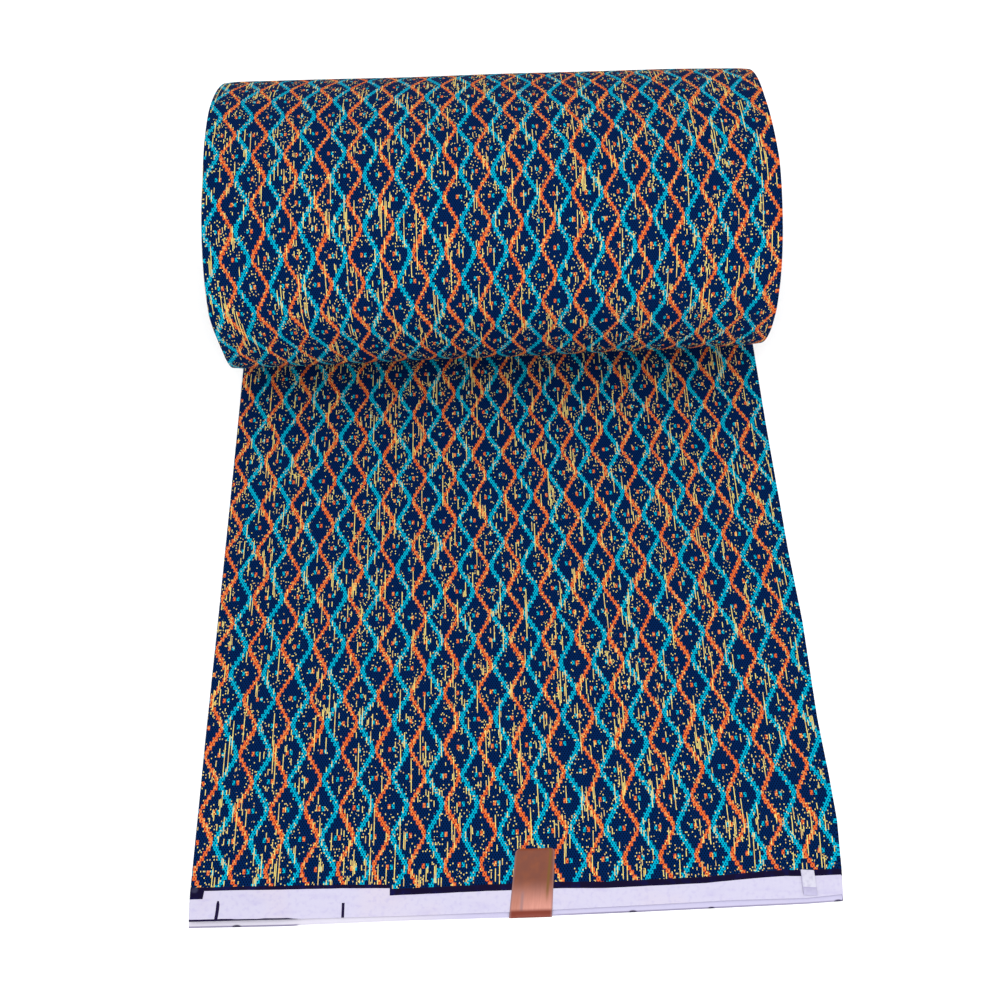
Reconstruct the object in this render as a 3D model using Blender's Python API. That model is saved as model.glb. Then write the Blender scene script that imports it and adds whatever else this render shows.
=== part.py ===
"""Models a roll of wax print cloth with its loose end laid out flat in front of it.

The cloth is folded once along its length, so it is two plies thick and half a yard wide. It is
wound into a soft roll with a flattened oval section, and the roll rests on the cloth's own loose
end. A blank foil label is wrapped over the loose end's front edge, and a small white paper tab
lies beside it.

X runs across the cloth, +Y from the loose end's front edge towards the roll, and +Z up. The
origin lies under the middle of the whole part, on the surface that it rests on. Sizes are metres.
"""

import math

import bpy
import numpy as np

# Cloth
CLOTH_WIDTH = 0.457
HALF_WIDTH = CLOTH_WIDTH / 2
PLY = 0.0012
SHEET_THICKNESS = 2 * PLY
CLEARANCE = 0.0003

# Roll: a section with a round upper half and a fuller, flatter lower half
ROLL_CENTRE = 0.5727
ROLL_HALF_DEPTH = 0.1313
ROLL_HALF_HEIGHT = 0.0911
LOWER_FULLNESS = 2.94
UPPER_FULLNESS = 2.0
ROLL_BASE = SHEET_THICKNESS + CLEARANCE
SECTION_POINTS = 60
SECTION_SAMPLES = 2400
RIM_RADIUS = 0.0025
RIM_STEPS = 3

# Ends of the roll: the main turns as a spiral groove, from the rim in to a flat eye
TURN_PITCH = 0.018
TURN_RELIEF = 0.0024
TURN_RELIEF_FADE = 0.020
END_DISH = 0.002
END_RINGS = 19
EYE_INSET = 0.0815
EYE_DEPTH = 0.008

# How far the roll swells at places across its width, from -1 on the left to 1 on the right
#   (place, swell)
ROLL_SWELL = (
    (-1.00, 0.0005),
    (-0.60, 0.0016),
    (-0.20, 0.0010),
    (0.30, 0.0000),
    (0.70, -0.0008),
    (1.00, -0.0026),
)

# How far the turns stand out of each end, by the angle round the section from the rear
#   (angle in degrees, left end, right end)
END_UNEVENNESS = (
    (0, 0.0000, 0.0000),
    (45, 0.0000, -0.0005),
    (75, 0.0011, -0.0012),
    (108, -0.0005, 0.0014),
    (130, 0.0002, 0.0006),
    (165, 0.0011, -0.0003),
    (185, -0.0010, 0.0003),
    (215, 0.0000, -0.0010),
    (300, 0.0000, 0.0000),
)

# Loose end
SHEET_REAR = ROLL_CENTRE + 0.060
SHEET_COLUMNS = 24
SHEET_ROWS = 26
ROW_CROWDING = 1.2
PLY_STEP = 0.0004

# Where the front edges of the two plies lie along the cloth, the lower one a little further out
LOWER_EDGE_AT_LABEL = -0.0045
#   (place across, upper ply, lower ply)
FRONT_EDGES = (
    (-0.2285, -0.0003, -0.0039),
    (-0.1570, -0.0007, -0.0049),
    (-0.0810, -0.0013, -0.0043),
    (0.0000, -0.0010, LOWER_EDGE_AT_LABEL),
    (0.0800, 0.0005, -0.0037),
    (0.1520, 0.0020, -0.0026),
    (0.2030, 0.0018, -0.0018),
    (0.2285, 0.0036, -0.0008),
)
UPPER_PLY = 1
LOWER_PLY = 2

# Shallow unevenness of the loose end's upper face, between its level band and the roll
BAND_END = 0.060
ROLL_CONTACT = 0.470
WAVE_FADE = 0.040
#   (height, rate across, rate along, phase)
SHEET_WAVES = (
    (0.0003, 11.0, 20.0, 0.4),
    (0.0003, 23.0, -2.0, 0.4),
)

# How far each side edge bows outwards
#   (distance from the front, left edge, right edge)
EDGE_BOWS = (
    (0.000, 0.0000, 0.0000),
    (0.020, 0.0014, 0.0022),
    (0.055, 0.0014, 0.0047),
    (0.090, 0.0013, 0.0042),
    (0.133, 0.0013, 0.0026),
    (0.212, 0.0006, 0.0035),
    (0.276, 0.0004, 0.0014),
    (0.400, 0.0000, 0.0002),
    (0.650, 0.0000, 0.0000),
)

# Foil label: its side edges at the front edge of the cloth and at its far end
LABEL_FRONT_SIDES = (-0.0048, 0.0252)
LABEL_REAR_SIDES = (0.0016, 0.0287)
LABEL_REAR = 0.0422
LABEL_FRONT = LOWER_EDGE_AT_LABEL - CLEARANCE
LABEL_THICKNESS = 0.0004
LABEL_BEND_RADIUS = 0.0009
LABEL_BEND_STEPS = 5
LABEL_FOOT = 0.0003

# White paper tab
TAB_CENTRE = (0.2060, 0.0124)
TAB_SIZE = (0.0106, 0.0174)
TAB_THICKNESS = 0.0004
TAB_TURN = math.radians(-8.8)
TAB_CORNER = 0.0009
TAB_CORNER_STEPS = 3

# The part's own middle, in the frame of the sheet's front edge
REAR_END = ROLL_CENTRE + ROLL_HALF_DEPTH + max(swell for _, swell in ROLL_SWELL)
FRONT_END = LABEL_FRONT - LABEL_THICKNESS
LEFT_END = -(HALF_WIDTH + PLY_STEP + max(left for _, left, _ in EDGE_BOWS))
RIGHT_END = HALF_WIDTH + PLY_STEP + max(right for _, _, right in EDGE_BOWS)
MIDDLE = ((LEFT_END + RIGHT_END) / 2, (FRONT_END + REAR_END) / 2, 0.0)


def clear_scene():
    """Removes every object of the open file."""
    for scene_object in list(bpy.data.objects):
        bpy.data.objects.remove(scene_object, do_unlink=True)


def make_material(name, colour, roughness, metallic=0.0):
    """A Principled material of one colour."""
    material = bpy.data.materials.new(name)
    material.use_nodes = True
    shader = material.node_tree.nodes["Principled BSDF"]
    shader.inputs["Base Color"].default_value = (*colour, 1.0)
    shader.inputs["Roughness"].default_value = roughness
    shader.inputs["Metallic"].default_value = metallic
    return material


def add_piece(name, points, faces, material, sharp_angle=40):
    """Adds a closed mesh as a named object, placed so that the part's middle is at the origin."""
    mesh = bpy.data.meshes.new(name)
    mesh.from_pydata((np.asarray(points) - MIDDLE).tolist(), [], faces)
    mesh.validate()
    mesh.shade_smooth()
    mesh.set_sharp_from_angle(angle=math.radians(sharp_angle))
    mesh.materials.append(material)
    piece = bpy.data.objects.new(name, mesh)
    bpy.context.scene.collection.objects.link(piece)
    return piece


def wall_faces(lower_start, upper_start, count):
    """Quads between two rings of count points each, both counter-clockwise from outside above."""
    faces = []
    for i in range(count):
        j = (i + 1) % count
        faces.append((lower_start + i, lower_start + j, upper_start + j, upper_start + i))
    return faces


def signed_power(value, exponent):
    """The size of value raised to exponent, with the sign of value kept."""
    return np.sign(value) * np.abs(value) ** exponent


def section(inset):
    """The roll's outline set in by inset, as evenly spaced (y, z) rows.

    It starts at the bottom and runs up the rear, over the top and down the front. The upper half
    is an ellipse, the lower half a fuller superellipse, cut flat where it rests on the sheet.
    """
    turn = np.linspace(-math.pi / 2, 3 * math.pi / 2, SECTION_SAMPLES + 1)
    sine = np.sin(turn)
    power = np.where(sine < 0, 2 / LOWER_FULLNESS, 2 / UPPER_FULLNESS)
    y = ROLL_CENTRE + (ROLL_HALF_DEPTH - inset) * signed_power(np.cos(turn), power)
    z = ROLL_HALF_HEIGHT + (ROLL_HALF_HEIGHT - inset) * signed_power(sine, power)
    z = np.maximum(z, ROLL_BASE + max(inset, 0.0))
    travelled = np.concatenate([[0.0], np.cumsum(np.hypot(np.diff(y), np.diff(z)))])
    stops = np.linspace(0.0, travelled[-1], SECTION_POINTS, endpoint=False)
    return np.stack([np.interp(stops, travelled, y), np.interp(stops, travelled, z)], axis=1)


def end_unevenness(outline, side):
    """How far the turns stand out at each point of an outline, on the left (-1) or right (1)."""
    rear = (outline[:, 0] - ROLL_CENTRE) / ROLL_HALF_DEPTH
    rise = (outline[:, 1] - ROLL_HALF_HEIGHT) / ROLL_HALF_HEIGHT
    angle = np.degrees(np.arctan2(rise, rear))
    column = 1 if side < 0 else 2
    table = np.array(END_UNEVENNESS)
    return np.interp(angle, table[:, 0], table[:, column], period=360)


def ring_at(inset, place, setback, side):
    """A ring of points near one end: the outline set in by inset, setback from the end."""
    outline = section(inset)
    across = side * (place - setback) + side * end_unevenness(outline, side)
    return np.column_stack([across, outline])


def end_rings(side):
    """Rings from the eye of one end out to its rim, over the spiral groove of the main turns."""
    swell = ROLL_SWELL[0][1] if side < 0 else ROLL_SWELL[-1][1]
    round_share = np.arange(SECTION_POINTS) / SECTION_POINTS
    rings = [ring_at(EYE_INSET, HALF_WIDTH, END_DISH + TURN_RELIEF + EYE_DEPTH, side)]
    for inset in np.linspace(EYE_INSET, RIM_RADIUS, END_RINGS):
        depth = (inset - RIM_RADIUS) / (EYE_INSET - RIM_RADIUS)
        phase = 2 * math.pi * (inset / TURN_PITCH - round_share)
        groove = TURN_RELIEF * (1 - np.cos(phase)) / 2
        fade = min(1.0, (inset - RIM_RADIUS) / TURN_RELIEF_FADE)
        setback = END_DISH * depth + groove * fade
        rings.append(ring_at(inset - swell, HALF_WIDTH, setback, side))
    for step in range(1, RIM_STEPS + 1):
        angle = math.pi / 2 * step / RIM_STEPS
        inset = RIM_RADIUS * (1 - math.sin(angle))
        setback = RIM_RADIUS * (1 - math.cos(angle))
        rings.append(ring_at(inset - swell, HALF_WIDTH, setback, side))
    return rings


def body_rings():
    """Rings across the roll between its two ends, with the swell of each place."""
    rings = []
    for place, swell in ROLL_SWELL[1:-1]:
        outline = section(-swell)
        across = np.full(SECTION_POINTS, place * HALF_WIDTH)
        rings.append(np.column_stack([across, outline]))
    return rings


def make_roll(material):
    """The wound roll as one solid tube of rings, capped at the floor of each eye."""
    rings = end_rings(-1) + body_rings() + end_rings(1)[::-1]
    faces = []
    for i in range(len(rings) - 1):
        first = i * SECTION_POINTS
        faces += wall_faces(first, first + SECTION_POINTS, SECTION_POINTS)
    left_cap = range(SECTION_POINTS)
    right_cap = range((len(rings) - 1) * SECTION_POINTS, len(rings) * SECTION_POINTS)
    faces.append(tuple(reversed(left_cap)))
    faces.append(tuple(right_cap))
    return add_piece("cloth_roll", np.concatenate(rings), faces, material)


def sheet_top(across, back):
    """Height of the loose end's upper face: level at the band and under the roll, else uneven."""
    after_band = np.clip((back - BAND_END) / WAVE_FADE, 0, 1)
    before_roll = np.clip((ROLL_CONTACT - back) / WAVE_FADE, 0, 1)
    wave = np.zeros_like(across)
    for height, across_rate, along_rate, phase in SHEET_WAVES:
        wave += height * np.sin(across_rate * across + along_rate * back + phase)
    return SHEET_THICKNESS + wave * after_band * before_roll


def front_edge(across, ply):
    """Where a ply's front edge lies along the cloth, at places across it."""
    edges = np.array(FRONT_EDGES)
    return np.interp(across, edges[:, 0], edges[:, ply])


def sheet_plan(columns, rows):
    """Plan of the loose end as a grid of (x, y): bowed side edges and an uneven front edge."""
    share_across = np.linspace(0, 1, columns + 1)
    share_back = np.linspace(0, 1, rows + 1) ** ROW_CROWDING
    share, back = np.meshgrid(share_across, share_back)
    bows = np.array(EDGE_BOWS)
    y = back * SHEET_REAR
    left = -HALF_WIDTH - np.interp(y, bows[:, 0], bows[:, 1])
    right = HALF_WIDTH + np.interp(y, bows[:, 0], bows[:, 2])
    x = left + (right - left) * share
    return x, y + front_edge(x, UPPER_PLY) * np.clip(1 - y / BAND_END, 0, 1)


def rim_of(columns, rows):
    """Grid positions (row, column) round a grid, counter-clockwise from its front left corner."""
    front = [(0, c) for c in range(columns)]
    right = [(r, columns) for r in range(rows)]
    rear = [(rows, c) for c in range(columns, 0, -1)]
    left = [(r, 0) for r in range(rows, 0, -1)]
    return front + right + rear + left


def lower_ply_rim(x, y, rim):
    """The lower ply's outline: a little outside the upper ply's, with a front edge of its own."""
    points = []
    for row, column in rim:
        across = x[row, column]
        back = front_edge(across, LOWER_PLY) if row == 0 else y[row, column]
        if column == 0:
            across -= PLY_STEP
        if column == x.shape[1] - 1:
            across += PLY_STEP
        if row == x.shape[0] - 1:
            back += PLY_STEP
        points.append((across, back))
    return np.array(points)


def make_loose_end(material):
    """The loose end as one flat solid of two plies, stepped at mid height where they part."""
    x, y = sheet_plan(SHEET_COLUMNS, SHEET_ROWS)
    top = np.stack([x, y, sheet_top(x, y)], axis=2).reshape(-1, 3)
    rim = rim_of(SHEET_COLUMNS, SHEET_ROWS)
    rim_indices = [row * (SHEET_COLUMNS + 1) + column for row, column in rim]
    count = len(rim)
    upper = np.column_stack([top[rim_indices, :2], np.full(count, PLY)])
    lower_plan = lower_ply_rim(x, y, rim)
    lower = np.column_stack([lower_plan, np.full(count, PLY)])
    bottom = np.column_stack([lower_plan, np.zeros(count)])
    points = np.concatenate([top, upper, lower, bottom])

    faces = []
    for row in range(SHEET_ROWS):
        for column in range(SHEET_COLUMNS):
            corner = row * (SHEET_COLUMNS + 1) + column
            above = corner + SHEET_COLUMNS + 1
            faces.append((corner, corner + 1, above + 1, above))
    upper_start = len(top)
    for i in range(count):
        j = (i + 1) % count
        faces.append((upper_start + i, upper_start + j, rim_indices[j], rim_indices[i]))
    faces += wall_faces(upper_start + count, upper_start, count)
    faces += wall_faces(upper_start + 2 * count, upper_start + count, count)
    faces.append(tuple(range(upper_start + 3 * count - 1, upper_start + 2 * count - 1, -1)))
    return add_piece("loose_end", points, faces, material)


def label_path():
    """The label's inner face from its far end to its foot, as (y, z) rows with their normals."""
    seat = SHEET_THICKNESS + CLEARANCE
    rows = [(LABEL_REAR, seat, 0.0, 1.0)]
    bend_y = LABEL_FRONT + LABEL_BEND_RADIUS
    bend_z = seat - LABEL_BEND_RADIUS
    for step in range(LABEL_BEND_STEPS + 1):
        angle = math.pi / 2 * (1 + step / LABEL_BEND_STEPS)
        normal = (math.cos(angle), math.sin(angle))
        rows.append((
            bend_y + LABEL_BEND_RADIUS * normal[0],
            bend_z + LABEL_BEND_RADIUS * normal[1],
            *normal,
        ))
    rows.append((LABEL_FRONT, LABEL_FOOT, -1.0, 0.0))
    return np.array(rows)


def make_label(material):
    """A strip of foil bent down over the front edge, a little wider at its foot."""
    path = label_path()
    share = np.clip((LABEL_REAR - path[:, 0]) / (LABEL_REAR - LABEL_FRONT), 0, 1)
    inner = path[:, :2]
    outer = path[:, :2] + LABEL_THICKNESS * path[:, 2:]
    rings = []
    for k in range(len(path)):
        left = LABEL_REAR_SIDES[0] + (LABEL_FRONT_SIDES[0] - LABEL_REAR_SIDES[0]) * share[k]
        right = LABEL_REAR_SIDES[1] + (LABEL_FRONT_SIDES[1] - LABEL_REAR_SIDES[1]) * share[k]
        rings += [(left, *inner[k]), (right, *inner[k]), (right, *outer[k]), (left, *outer[k])]
    faces = [(3, 2, 1, 0)]
    for k in range(len(path) - 1):
        faces += wall_faces(4 * k, 4 * (k + 1), 4)
    last = 4 * (len(path) - 1)
    faces.append((last, last + 1, last + 2, last + 3))
    return add_piece("foil_label", rings, faces, material)


def make_tab(material):
    """A small paper tab with round corners, turned a little on the band."""
    half = np.array(TAB_SIZE) / 2 - TAB_CORNER
    plan = []
    for quarter, corner in enumerate(((1, 1), (-1, 1), (-1, -1), (1, -1))):
        for step in range(TAB_CORNER_STEPS + 1):
            angle = math.pi / 2 * (quarter + step / TAB_CORNER_STEPS)
            plan.append((
                corner[0] * half[0] + TAB_CORNER * math.cos(angle),
                corner[1] * half[1] + TAB_CORNER * math.sin(angle),
            ))
    plan = np.array(plan)
    cosine = math.cos(TAB_TURN)
    sine = math.sin(TAB_TURN)
    turned = plan @ np.array([[cosine, sine], [-sine, cosine]]) + TAB_CENTRE
    count = len(turned)
    seat = SHEET_THICKNESS + CLEARANCE
    lower = np.column_stack([turned, np.full(count, seat)])
    upper = np.column_stack([turned, np.full(count, seat + TAB_THICKNESS)])
    faces = wall_faces(0, count, count)
    faces.append(tuple(reversed(range(count))))
    faces.append(tuple(range(count, 2 * count)))
    return add_piece("white_tab", np.concatenate([lower, upper]), faces, material)


def main():
    """Models the whole part in a cleared scene."""
    clear_scene()
    printed_cloth = make_material("printed_cloth", (0.012, 0.045, 0.115), 0.85)
    copper_foil = make_material("copper_foil", (0.55, 0.27, 0.17), 0.30, 0.9)
    white_paper = make_material("white_paper", (0.85, 0.85, 0.87), 0.60)
    make_roll(printed_cloth)
    make_loose_end(printed_cloth)
    make_label(copper_foil)
    make_tab(white_paper)


main()
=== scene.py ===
"""Dresses a roll of wax print cloth with its real turns, print, foil label and paper tab.

The cloth is one long piece of printed cotton, folded once along its length with the fold on the
right. Its loose end lies flat, its first turn rises behind the roll, passes over the top and comes
down the front, and its other turns lie inside. The print follows the cloth all the way.

Places are worked out in the plan of the loose end: x from the middle of the cloth, y from the
line of its front edge, z from the surface that it rests on. They are moved by MIDDLE into the
part's frame as each mesh is made. Sizes are metres.
"""

import logging
import math
from collections.abc import Callable
from dataclasses import dataclass
from enum import Enum

import bpy
import numpy as np
from mathutils import Matrix, Vector


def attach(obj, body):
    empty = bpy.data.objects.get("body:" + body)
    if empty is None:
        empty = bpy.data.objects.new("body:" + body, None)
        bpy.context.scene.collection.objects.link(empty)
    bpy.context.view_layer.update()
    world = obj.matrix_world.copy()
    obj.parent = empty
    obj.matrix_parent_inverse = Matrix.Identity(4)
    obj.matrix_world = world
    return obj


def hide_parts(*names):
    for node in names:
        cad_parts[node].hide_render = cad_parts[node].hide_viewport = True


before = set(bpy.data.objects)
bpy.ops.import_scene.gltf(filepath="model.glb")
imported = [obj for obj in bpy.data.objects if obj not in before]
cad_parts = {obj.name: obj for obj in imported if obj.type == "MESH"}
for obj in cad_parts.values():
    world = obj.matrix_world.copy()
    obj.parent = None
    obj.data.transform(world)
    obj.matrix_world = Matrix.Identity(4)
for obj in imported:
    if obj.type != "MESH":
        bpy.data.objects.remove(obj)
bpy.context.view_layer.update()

LOG = logging.getLogger("cloth_roll")

# The part's own middle, in the plan of the loose end
MIDDLE = np.array([0.00165, 0.3502, 0.0])

CLOTH_WIDTH = 0.457
HALF_WIDTH = CLOTH_WIDTH / 2
BODY = "root"
CLOTH_MAP = "cloth"

# The mix node has a socket for each kind of value: these are its share, its two colours and the
# colour that it gives
MIX_SOCKETS = (0, 6, 7)
MIX_OUTPUT = 2

Array = np.ndarray
Pair = tuple[float, float]
Triple = tuple[float, float, float]
Rows = tuple[tuple[float, ...], ...]


class Hold(Enum):
    """How a sheet of cloth is held, in the frame's words."""

    LAID = "laid"
    FOLDED = "folded"


class Slot(Enum):
    """The record's material slots."""

    CLOTH = "printed_cloth"
    FOIL = "copper_foil"
    PAPER = "white_paper"


class Salt(Enum):
    """Numbers that set one chance pattern of the print apart from the others."""

    SLIDE = 3.0
    SPECK = 4.0
    TAN = 5.0
    CORNER_ACROSS = 6.0
    CORNER_ALONG = 7.0
    FADED = 9.0


# The studio throws more than even light on the cloth, so each paint is this share of its colour
STUDIO_ALLOWANCE = 0.68


class Ink(Enum):
    """Colours of the print, the border, the foil and the paper, as they look in even light."""

    NAVY = (0, 36, 88)
    NAVY_DOT = (0, 0, 8)
    ORANGE = (237, 115, 58)
    RED_DOT = (150, 4, 0)
    TAN = (240, 152, 88)
    TURQUOISE = (0, 180, 213)
    TEAL_DOT = (0, 24, 74)
    YELLOW = (255, 230, 128)
    DIM_YELLOW = (232, 196, 118)
    BORDER = (22, 16, 46)
    BORDER_TINT = (20, 24, 84)
    BLOCK_TINT = (90, 92, 124)
    SELVAGE = (52, 66, 104)
    BAND = (217, 213, 237)
    BAND_SHADE = (196, 188, 229)
    BAND_WARM = (222, 213, 231)
    BAND_LOWER = (209, 204, 238)
    # Painted light on the lower ply's left, against the shade under the lifted upper ply
    BAND_PAINTED_LIGHT = (242, 238, 248)
    # Pen ink, also painted shadow under the upper ply's lifted front edge
    PEN_MARK_AND_GAP_SHADOW = (34, 26, 60)
    # Painted shadow along the lower ply's front edge
    EDGE_PAINTED_SHADOW = (140, 134, 164)
    PAPER = (216, 214, 232)
    PAPER_GREY = (194, 190, 214)
    # Painted shade of the tab's bent foot and its left side
    PAPER_PAINTED_SHADE = (183, 176, 216)
    # Painted shade along the tab's crease
    PAPER_CREASE_SHADE = (174, 166, 206)
    FOIL_BROWN = (126, 70, 54)
    # Orange mottle of the foil, also its painted glint near the left side
    FOIL_ORANGE_AND_GLINT = (150, 80, 46)
    # Painted sheen of the foil before its bend
    FOIL_PAINTED_SHEEN = (228, 158, 142)
    FOIL_GREY = (152, 118, 120)
    # Painted shade of the foil's front, which turns down
    FOIL_FRONT_SHADE = (126, 49, 31)
    FOIL_GOLD = (122, 84, 30)
    FOIL_RIM = (130, 56, 22)

    def paint(self) -> tuple[float, float, float, float]:
        """The colour as linear light, by the usual curve of screens, less what the studio adds.

        Returns:
            Red, green, blue and a full opacity.
        """
        shares = np.array(self.value) / 255
        linear = np.where(shares <= 0.04045, shares / 12.92, ((shares + 0.055) / 1.055) ** 2.4)
        return (*(linear * STUDIO_ALLOWANCE).tolist(), 1.0)


def smooth_step(low: float, high: float, value: Array) -> Array:
    """Rises smoothly from 0 at low to 1 at high: three squares less two cubes of the share."""
    share = np.clip((value - low) / (high - low), 0.0, 1.0)
    return share * share * (3 - 2 * share)


def signed_power(value: Array, exponent: Array) -> Array:
    """The size of value raised to exponent, with the sign of value kept."""
    return np.sign(value) * np.abs(value) ** exponent


def between(low: Array, high: Array, share: Array) -> Array:
    """The value that lies a share of the way from low to high."""
    return low + (high - low) * share


def read_off(rows: Rows, value: Array, column: int = 1, period: float | None = None) -> Array:
    """Reads values off a column of a table, in straight lines from one row to the next."""
    table = np.array(rows)
    return np.interp(value, table[:, 0], table[:, column], period=period)


def drawn_in(near: Array) -> Array:
    """How far a round corner draws a side in: a circle's sagitta, for a share of its way."""
    return 1 - np.sqrt(1 - np.clip(near, 0, 1) ** 2)


def crowded(count: int, edge: float) -> Array:
    """Shares from 0 to 1 in even steps, with one more point close to each end."""
    inner = np.linspace(0.0, 1.0, count + 1)[1:-1]
    return np.concatenate([[0.0, edge], inner, [1.0 - edge, 1.0]])


def add_surface(name: str, place: tuple[Array, ...], flat: tuple[Array, ...], thickness: float,
                finish: bpy.types.Material) -> bpy.types.Object:
    """Adds a piece whose surface is a grid of points, thickened to a closed sheet.

    Args:
        name: The piece's name.
        place: The x, y and z of the grid's points in the plan, each by row and column.
        flat: The two coordinates of the same points on the flat material.
        thickness: How thick the finished sheet is.
        finish: The piece's material.

    Returns:
        The piece as an object at the origin, with its place in its mesh.
    """
    *places, u, v = np.broadcast_arrays(*place, *flat)
    places, maps = np.stack(places, axis=2), np.stack([u, v], axis=2)
    rows, columns = u.shape
    corner = (np.arange(rows - 1)[:, None] * columns + np.arange(columns - 1)).ravel()
    quads = np.stack([corner, corner + 1, corner + columns + 1, corner + columns], axis=1)
    mesh = bpy.data.meshes.new(name)
    mesh.from_pydata((places.reshape(-1, 3) - MIDDLE).tolist(), [], quads.tolist())
    layer = mesh.uv_layers.new(name=CLOTH_MAP)
    layer.data.foreach_set("uv", maps.reshape(-1, 2)[quads.ravel()].astype(np.float32).ravel())
    mesh.shade_smooth()
    mesh.materials.append(finish)
    piece = bpy.data.objects.new(name, mesh)
    bpy.context.scene.collection.objects.link(piece)
    shell = piece.modifiers.new("thickness", "SOLIDIFY")
    shell.thickness = thickness
    shell.offset = 0.0
    shell.use_even_offset = True
    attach(piece, BODY)
    return piece


def arithmetic(operation: str, meaning: str) -> Callable[..., "Field"]:
    """A method that takes one step of arithmetic on a field and up to one other value.

    Args:
        operation: The step, in the words of Blender's Math node.
        meaning: What the method gives, for its docstring.

    Returns:
        The method.
    """

    def method(self: "Field", *others: "Field | float") -> "Field":
        """Takes the step on this field and the others."""
        return self.graph.math(operation, self, *others)

    method.__doc__ = meaning
    return method


@dataclass(frozen=True)
class Rise:
    """A smooth rise: from 0 where a field is low to its strength where the field is high."""

    low: float
    high: float
    strength: float = 1.0


class Field:
    """A number or colour that varies over a surface: a socket of a graph, with arithmetic."""

    __add__ = arithmetic("ADD", "The sum of two fields.")
    __sub__ = arithmetic("SUBTRACT", "The difference of two fields.")
    __mul__ = arithmetic("MULTIPLY", "The product of two fields.")
    __truediv__ = arithmetic("DIVIDE", "The quotient of two fields.")
    __mod__ = arithmetic("FLOORED_MODULO", "What is left over after whole steps, never below 0.")
    __lt__ = arithmetic("LESS_THAN", "One where this field is less than the other, else zero.")
    __gt__ = arithmetic("GREATER_THAN", "One where this field is more than the other, else zero.")
    __abs__ = arithmetic("ABSOLUTE", "The field without its sign.")
    floor = arithmetic("FLOOR", "The whole number at or below the field.")
    sine = arithmetic("SINE", "The sine of the field, in radians.")
    arcsine = arithmetic("ARCSINE", "The angle whose sine the field is.")
    either = arithmetic("MAXIMUM", "The larger of two masks.")

    def __init__(self, graph: "Graph", socket: bpy.types.NodeSocket) -> None:
        """Keeps the graph and the socket that carries the value."""
        self.graph = graph
        self.socket = socket

    def inverted(self) -> "Field":
        """One less the field."""
        return self.graph.math("SUBTRACT", 1.0, self)

    def rise(self, rise: Rise) -> "Field":
        """The field sent through a smooth rise, level beyond both its ends."""
        ends = {"From Min": rise.low, "From Max": rise.high, "To Max": rise.strength}
        return self.graph.node("ShaderNodeMapRange", {"Value": self, **ends},
                               interpolation_type="SMOOTHSTEP")


@dataclass(frozen=True)
class Cloud:
    """Soft noise over a piece's map, so many blobs a unit, sent through a rise if it has one.

    Its place is squeezed by a factor each way, and its layer sets it apart from its like.
    """

    scale: float
    rise: Rise | None = None
    detail: float = 2.0
    squeeze: Pair = (1.0, 1.0)
    layer: float = 0.0


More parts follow.
